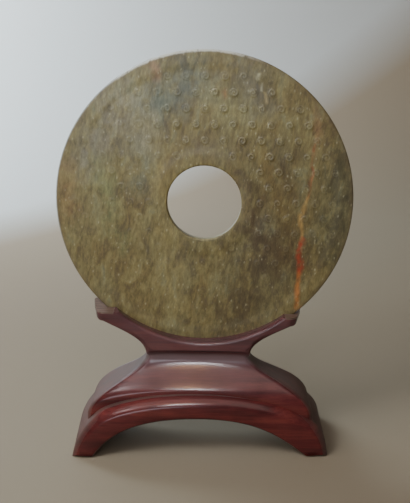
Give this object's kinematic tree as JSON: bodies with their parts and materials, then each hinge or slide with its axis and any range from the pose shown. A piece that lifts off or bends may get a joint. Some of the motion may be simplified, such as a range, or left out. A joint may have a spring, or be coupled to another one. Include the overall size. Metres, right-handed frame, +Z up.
{
  "type": "jade bi disc on stand",
  "caption": "Flat pierced jade disc with plain rims and a raised grain pattern, standing upright in a grooved, arched, carved hardwood stand.",
  "frame": {"origin": "on the floor, below the middle of the disc and of the stand", "axes": "+Z up, front face of the disc towards -Y, +X to the right seen from the front"},
  "size_m": [0.2, 0.0703, 0.2737],
  "materials": {
    "jade": "polished mottled olive jade with worn, darker rim",
    "stand_wood": "glossy dark red-brown lacquered hardwood"
  },
  "bodies": {
    "root": {"jade_disc": "jade", "carved_stand": "stand_wood"}
  },
  "joints": []
}
